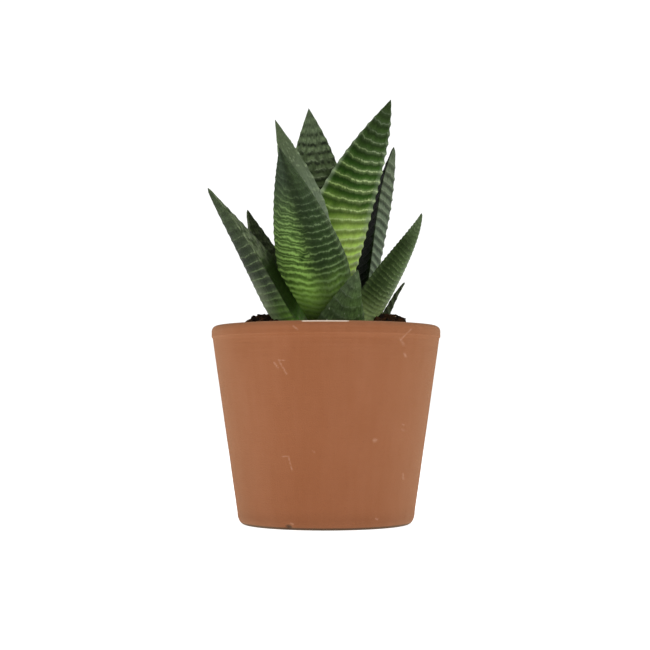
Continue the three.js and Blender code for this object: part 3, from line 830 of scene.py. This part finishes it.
# %% Turn the profile into the pot
def turned(name, profile, sides, shift):
    """A closed body from a profile that goes round the axis; shift moves each point.

    A profile that starts and ends on the axis closes there in one point each. Any other
    closes on itself, as the pot's does round its drain hole."""
    closes_on_axis = profile[0][0] == 0
    rings = profile[1:-1] if closes_on_axis else profile
    turns = np.linspace(0, 2 * math.pi, sides, endpoint=False)
    points = [Vector((r * math.cos(a), r * math.sin(a), z)) for r, z in rings for a in turns]
    ring = [(s, (s + 1) % sides) for s in range(sides)]
    faces, rows = [], len(rings)
    for row in range(rows - 1 if closes_on_axis else rows):
        here, above = row * sides, (row + 1) % rows * sides
        faces += [(here + s, here + t, above + t, above + s) for s, t in ring]
    if closes_on_axis:
        start, last = len(points), (rows - 1) * sides
        points += [Vector((0, 0, profile[0][1])), Vector((0, 0, profile[-1][1]))]
        faces += [(start, t, s) for s, t in ring]
        faces += [(start + 1, last + s, last + t) for s, t in ring]
    mesh = bpy.data.meshes.new(name)
    mesh.from_pydata([shift(p) * MM for p in points], [], faces)
    mesh.polygons.foreach_set("use_smooth", [True] * len(faces))
    mesh.update()
    return add_object(name, mesh)


CHIP = Vector((-12.4, -27.6, 0.6))  # where a flake has come off the foot


def out_of_true(point):
    """Hand-made unevenness: always inwards, so the pot keeps its greatest size."""
    radius = math.hypot(point.x, point.y)
    if radius < 20:
        return point
    dent = 0.08 * (1 + noise.noise(Vector((point.x, point.y, point.z * 2)) * 0.05)) / 2
    dent += 0.05 * (1 + noise.noise(point * 0.3)) / 2
    dent += 0.7 * math.exp(-((point - CHIP).length / 1.3) ** 2)
    share = 1 - dent / radius
    return Vector((point.x * share, point.y * share, point.z))


pot = turned("clay_pot", pot_profile(), 240, out_of_true)
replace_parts(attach(pot, "root"), "terracotta_pot")
print("clay pot:", triangles(pot), "triangles")

# %% [markdown]
# ## Terracotta
# Unglazed clay is matt and warm, with faint clouds from the kiln, fine sandy grain, turning
# lines near the lip, and a dusty look where it is seen at a slant. It is painted a little
# darker towards the foot, as shade from the lamps above, and darker still on the ring it
# stands on and round a chip. A thin painted highlight lies on the front of the lip, and
# handling left short pale scuffs on the front. Each scuff is a stroke between two points on
# the wall: one small group measures how far a point is from it, and is used for each.

# %% Stroke group: one scuff
stroke_group, given, stroke_end = new_group(
    "Shader", "scuff stroke",
    {"Place": VECTOR, "Start": VECTOR, "End": VECTOR, "Width": NUMBER}, {"Mask": NUMBER})
reach = given.end - given.start
from_start = given.place - given.start
share = worked("DOT_PRODUCT", from_start, reach) / worked("DOT_PRODUCT", reach, reach)
nearest = given.start + reach * clipped(share)
away = worked("DISTANCE", given.place, nearest)
hand_out(stroke_end, ramp(away, given.width, 0))
tell(stroke_group)

# %% Terracotta group
SCUFFS = [  # start x, z, end x, z, width, on the front of the wall
    (-10.6, 66.9, -9.3, 65.9, 0.5), (28.3, 66.5, 24.6, 62.9, 0.4),
    (24.6, 62.9, 25.7, 61.2, 0.8), (26, 58.2, 26.4, 57.6, 0.8),
    (-15.5, 56, -12.9, 51.5, 0.5), (-17, 55.2, -15.7, 53.5, 0.5),
    (-15.5, 56, -13.4, 55.9, 0.35), (15.9, 29.7, 16.5, 29.8, 1.1),
    (25.3, 33.2, 25.9, 32.9, 0.6), (25.6, 34.9, 26, 34.7, 0.4),
    (-4.3, 26.4, -3.8, 25.9, 0.45), (-12.4, 24.6, -11.1, 19.8, 0.45),
    (-14.4, 24.4, -12.4, 24.6, 0.35), (16.5, 3.7, 17.1, 3.5, 0.6),
    (25.8, 18.2, 26, 16.5, 0.6), (-11.6, 2.5, -10.9, 2.1, 0.5),
]
clay_group, given, clay_end = new_group(
    "Shader", "terracotta",
    {"Clay": paint(133, 78, 46), "Pale clay": paint(148, 95, 66),
     "Scuff": paint(190, 150, 126), "Lime": paint(250, 232, 214)}, FINISH)
place = object_place(clay_group)
x, y, z = parts_of(place)
clouds = wander(place * (1, 1, 0.55), 0.035, 4, 0.6)
streaks = wander(place * (1, 1, 0.06), 0.35, 3)
rings = wander(place * (0.03, 0.03, 1), 1.1)
near_lip = ramp(z, POT_HEIGHT - 16, POT_HEIGHT - 3)
sand = wander(place, 2.6, 4, 0.7)
specks = ramp(cells(place, 0.55), 0.16, 0.05)
pale = clouds * 0.28 + streaks * 0.1 + rings * near_lip * 0.14 + 0.3
colour = mixed(clipped(pale), given.clay, given.pale_clay)
colour = colour * (sand * 0.035 + 1)
colour = mixed(specks * 0.35, colour, paint(120, 72, 50))
# painted shade: the clay darkens towards the foot, as if lit from above
colour = colour * slide(0.86, 1, ramp(z, 0, 8))  # darker near the foot
colour = colour * slide(0.97, 1, ramp(z, 5, 35))
chip = ramp(worked("DISTANCE", place, tuple(CHIP)), 1.7, 0.8)
darker_foot_and_chip = larger(ramp(z, 1.1, 0.6), chip)  # the ring the pot stands on and its chip are darker
colour = mixed(darker_foot_and_chip * 0.9, colour, paint(40, 26, 18))
on_wall = vector_of(x, 0, z)


def stroke(start_x, start_z, end_x, end_z, width):
    """1 along one line drawn on the front of the pot, and 0 away from it."""
    feeds = {"Place": on_wall, "Start": (start_x, 0, start_z), "End": (end_x, 0, end_z),
             "Width": width}
    return result(clay_group, "ShaderNodeGroup", feeds, node_tree=stroke_group)


marks = stroke(*SCUFFS[0])
for scuff in SCUFFS[1:]:
    marks = larger(marks, stroke(*scuff))
worn = ramp(wander(place, 1.8, 3), -0.9, 0.6)
colour = mixed(marks * worn * (y < 0) * 0.38, colour, given.scuff)
tell(clay_group)

# %% Terracotta group: painted highlight on the lip
HIGHLIGHT_LEFT, HIGHLIGHT_HALF = 0.25, 8  # how far left of the middle it lies, and half its length
from_axis = worked("LENGTH", place * (1, 1, 0))
outer = ramp(from_axis, RIM_RADIUS - 1.6, RIM_RADIUS - 1.4)  # where the lip rounds over
rounding = outer * ramp(z, POT_HEIGHT - 0.55, POT_HEIGHT - 0.3) * (y < 0)
from_highlight = size_of(x + HIGHLIGHT_LEFT) + wander(place, 0.6, 3) * 0.8
# a painted highlight along the front of the lip, where it rounds over
lime = rounding * ramp(from_highlight, HIGHLIGHT_HALF, HIGHLIGHT_HALF - 0.8)
colour = mixed(lime * 0.95, colour, given.lime)
hand_out(clay_end, colour, sand * 0.04 + 0.86,
         sand * 0.5 + rings * (near_lip * 0.35 + 0.12) + streaks * 0.15)
pot.data.materials.append(finish_with(
    "terracotta clay", clay_group, 0.1, Specular_IOR_Level=0.15, Sheen_Weight=0.25,
    Sheen_Tint=paint(240, 208, 164), Sheen_Roughness=0.6))
tell(clay_group)

# %% [markdown]
# ## Bark mix
# The plant stands in a mix of dark bark crumbs with a little pale grit, heaped up at its
# sides. Under the crumbs lies one closed body that fills the pot: it is turned like the pot,
# and its top rises and falls with the heap. It carries the crumbs, and closes every gap.

# %% Soil body
EDGE_HEIGHT, MOUND_HEIGHT, SIDE_LIFT, HEART_HEIGHT = 63, 66.8, 5, 65
SHOULDER, SOIL_GAP = 24, 0.3  # where the heap starts to fall, and how far the pot is off
soil_edge = wall_radius(EDGE_HEIGHT) - WALL - SOIL_GAP


def ease(value, low, high):
    share = min(1, max(0, (value - low) / (high - low)))
    return share * share * (3 - 2 * share)


def heap(point):
    """Lifts the points of the flat top into the heap, with lumps."""
    if point.z < EDGE_HEIGHT - 0.01:
        return point
    radius = math.hypot(point.x + 0.08, point.y)
    lift = SIDE_LIFT * (point.x / max(radius, 1e-6)) ** 4 * (1 - ease(radius, 24.3, 30.6))
    top = MOUND_HEIGHT + lift
    height = EDGE_HEIGHT + (top - EDGE_HEIGHT) * (1 - ease(radius, SHOULDER, soil_edge))
    height += (HEART_HEIGHT - top) * (1 - ease(radius, 6, 19))  # lower round the crown
    lumps = noise.noise(point * 0.4) * 0.5 + noise.noise(point * 1.1) * 0.3
    return Vector((point.x, point.y, height + lumps))


soil_profile = [(0, FLOOR + SOIL_GAP),
                (wall_radius(FLOOR) - WALL - COVE - SOIL_GAP, FLOOR + SOIL_GAP),
                (wall_radius(FLOOR + COVE) - WALL - 2 * SOIL_GAP, FLOOR + COVE + SOIL_GAP),
                (soil_edge - 0.4, EDGE_HEIGHT - 2)]
soil_profile += [(r, EDGE_HEIGHT) for r in np.linspace(soil_edge, 0, 56)]
soil = turned("soil_body", soil_profile, 150, heap)
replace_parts(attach(soil, "root"), "potting_soil")
print("soil body:", triangles(soil), "triangles")

# %% [markdown]
# Crumbs are many and all alike in kind: a small block of few faces, knocked out of shape.
# So they are scattered by Geometry Nodes over the top of the soil. One tree serves for bark
# chips, fine crumbs and pale grit, which differ only in size, flatness and number.

# %% Crumb tree
crumb_tree, given, crumb_end = new_group(
    "Geometry", "scattered crumbs",
    {"Soil": "NodeSocketObject", "Finish": MATERIAL, "Seed": WHOLE, "Spacing": 2.0,
     "Density": 1.0, "Smallest": 1.0, "Largest": 2.0, "Flatness": 0.5, "Sunk": 0.2,
     "Reach": 32.0}, {"Crumbs": GEOMETRY})
CRUMB_LINE = 62.5  # crumbs lie above this height
ground = result(crumb_tree, "GeometryNodeObjectInfo", {"Object": given.soil}, "Geometry")
x, y, z = parts_of(result(crumb_tree, "GeometryNodeInputPosition"))
from_middle = x + OFF_AXIS * MM  # the chips lie a little to the left of the pot's middle
in_reach = (from_middle * from_middle + y * y) < (given.reach * MM) ** 2
spots = result(crumb_tree, "GeometryNodeDistributePointsOnFaces",
               {"Mesh": ground, "Selection": (z > CRUMB_LINE * MM) * in_reach,
                "Distance Min": given.spacing * MM, "Density Max": given.density * 1e6,
                "Seed": given.seed}, "Points", distribute_method="POISSON")


def chance(kind, low, high, salt):
    """A random value for each crumb. The node has other sockets for each kind of value."""
    first, output = (0, 0) if kind == "FLOAT_VECTOR" else (2, 1)
    feeds = {first: low, first + 1: high, "Seed": given.seed * 7 + salt}
    return result(crumb_tree, "FunctionNodeRandomValue", feeds, output, data_type=kind)


spots = keep(spots, "tone", chance("FLOAT", 0, 1, 1))
block = result(crumb_tree, "GeometryNodeMeshCube",
               {"Size": (1.0, 1.0, 1.0), "Vertices X": 3, "Vertices Y": 3, "Vertices Z": 3})
width = slide(given.smallest, given.largest, chance("FLOAT", 0, 1, 2) ** 2) * MM
size = vector_of(width * 1.25, width, width * given.flatness)
crumbs = step(spots, "InstanceOnPoints", {"Instance": block, "Scale": size})
tilt = chance("FLOAT_VECTOR", (-0.7, -0.7, 0), (0.7, 0.7, 6.28), 3)
crumbs = step(crumbs, "RotateInstances", {"Rotation": tilt})
lift = vector_of(0, 0, width * (0.5 - given.sunk) * given.flatness)
crumbs = step(crumbs, "TranslateInstances", {"Local Space": False, "Translation": lift})
crumbs = step(crumbs, "RealizeInstances")
spot = result(crumb_tree, "GeometryNodeInputPosition") * (1 / MM)
knock = result(crumb_tree, "ShaderNodeTexNoise",
               {"Vector": spot, "Scale": 0.9, "Detail": 2}, "Color")
bent = (knock - (0.5, 0.5, 0.5)) * (given.smallest * 1.1 * MM)
crumbs = step(crumbs, "SetPosition", {"Offset": bent})
crumbs = step(crumbs, "SetMaterial", {"Material": given.finish})
hand_out(crumb_end, crumbs)
tell(crumb_tree)

# %% [markdown]
# Bark is dark and fibrous, with some chips redder and some nearly black. Every crumb got its
# own tone as it was scattered, and one group turns that tone and a noise into its colour.
# The grit, the soil body and the hidden roots use the same group with their own colours.

# %% Crumb finish and crumbs
bark_group, given, bark_end = new_group(
    "Shader", "crumb finish",
    {"Dark": paint(14, 9, 5), "Light": paint(124, 80, 46)}, FINISH)
place = object_place(bark_group)
tone = attribute(bark_group, "tone")
fibres = wander(place * (1, 1, 2.2), 1.4, 4, 0.65)
share = clipped(tone ** 4 * 0.8 + fibres * 0.2 + 0.05)
hand_out(bark_end, mixed(share, given.dark, given.light), fibres * 0.05 + 0.88, fibres)

bark = finish_with("bark crumbs", bark_group, 0.3, Specular_IOR_Level=0.1)
earth = finish_with("damp earth", bark_group, 0.4,
                    {"Dark": paint(12, 8, 4), "Light": paint(34, 22, 13)},
                    Specular_IOR_Level=0.1)
grit = finish_with("pale grit", bark_group, 0.15,
                   {"Dark": paint(120, 104, 78), "Light": paint(206, 196, 170)})
root_flesh = finish_with("root flesh", bark_group, 0.2,
                         {"Dark": paint(150, 128, 90), "Light": paint(214, 200, 160)})
soil.data.materials.append(earth)
roots = frame["nodes"]["stem_and_roots"]
roots.data.materials.clear()
roots.data.materials.append(root_flesh)

for name, seed, finish, values in (
        ("bark_chips", 3, bark, {"Spacing": 2.1, "Density": 0.4, "Smallest": 1.4,
                                 "Largest": 3.0, "Flatness": 0.6, "Reach": 29.7}),
        ("bark_crumbs", 8, bark, {"Spacing": 1.0, "Density": 1.2, "Smallest": 0.6,
                                  "Largest": 1.6, "Flatness": 0.75, "Reach": 33.2}),
        ("grit_grains", 5, grit, {"Spacing": 4.0, "Density": 0.02, "Smallest": 0.6,
                                  "Largest": 1.2, "Flatness": 0.8, "Sunk": 0.0})):
    crumbs = grow(name, crumb_tree, values | {"Soil": soil, "Seed": seed, "Finish": finish})
    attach(crumbs, "root")
    top = max(v.co.z for v in crumbs.data.vertices) / MM
    print(f"{name}: {triangles(crumbs)} triangles, up to {top:.1f} mm")

# %% [markdown]
# ## Floor, light and camera
# The object stands in a white studio: a pale floor, an evenly white surround, and large soft
# lights at both sides, above and low in front, so that shadows are faint and every face is
# readable. The floor glows like a table lit from below. The camera stands half a metre away,
# a little below the rim, and looks slightly up.

# %% Lights and surround
PLANT_MIDDLE = Vector((0, 0, 0.08))
LIGHTS = {  # place and width in metres, power in watts
    "left softbox": ((-0.75, -0.35, 0.35), 0.6, 2.4),
    "right softbox": ((0.8, -0.15, 0.4), 0.6, 2),
    "top softbox": ((0.1, 0.1, 0.95), 0.7, 1.8),
    "front fill": ((0.05, -0.95, 0.06), 0.5, 3),
}
for name, (place, width, power) in LIGHTS.items():
    lamp = bpy.data.lights.new(name, "AREA")
    lamp.shape, lamp.size, lamp.energy = "DISK", width, power
    light = add_object(name, lamp)
    light.location = place
    light.rotation_euler = (PLANT_MIDDLE - Vector(place)).to_track_quat("-Z", "Y").to_euler()

AMBIENT, SEEN_EXTRA = 0.33, 0.77  # the surround looks white, but lights less
world = bpy.data.worlds.new("white surround")
scene.world = world
world.use_nodes = True
surround = world.node_tree.nodes["Background"]
seen = result(world.node_tree, "ShaderNodeLightPath", output="Is Camera Ray")
feed(surround.inputs["Color"], (1, 1, 1, 1))
feed(surround.inputs["Strength"], seen * SEEN_EXTRA + AMBIENT)
print("lights:", ", ".join(LIGHTS))

# %% Floor and camera
FLOOR_HALF, TABLE_GLOW = 6, 0.85
floor_mesh = bpy.data.meshes.new("studio_floor")
floor_corners = [(x * FLOOR_HALF, y * FLOOR_HALF, 0)
                 for x, y in ((-1, -1), (1, -1), (1, 1), (-1, 1))]
floor_mesh.from_pydata(floor_corners, [], [(0, 1, 2, 3)])
floor = add_object("studio_floor", floor_mesh)
floor_paint = bpy.data.materials.new("floor paint")
floor_paint.use_nodes = True
lit_table = {"Base Color": (0.9, 0.9, 0.9, 1), "Roughness": 1.0,
             "Emission Color": (1, 1, 1, 1), "Emission Strength": TABLE_GLOW}
for label, value in lit_table.items():
    feed(floor_paint.node_tree.nodes["Principled BSDF"].inputs[label], value)
floor_mesh.materials.append(floor_paint)
floor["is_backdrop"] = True

CAMERA_AWAY, CAMERA_HEIGHT, LOOK_UP = 0.5, 0.042, 3.14  # metres, metres and degrees
camera_data = bpy.data.cameras.new("camera")
camera_data.sensor_width, camera_data.lens = 36, 78.76
camera = add_object("camera", camera_data)
camera.location = (-OFF_AXIS * MM, -CAMERA_AWAY, CAMERA_HEIGHT)
camera.rotation_euler = (math.radians(90 + LOOK_UP), 0, 0)
bpy.context.scene.camera = camera
scene.view_settings.view_transform = "Standard"
print("camera lens:", camera_data.lens, "mm")

# %% [markdown]
# ## Check the sizes
# The fine pieces have to fill the same box as the plain ones. Both boxes are written down.

# %% Compare the boxes and finish
fine_low, fine_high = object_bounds()
for label, plain, fine in (("low", cad_low, fine_low), ("high", cad_high, fine_high)):
    print(label, [round(v / MM, 2) for v in plain], [round(v / MM, 2) for v in fine])
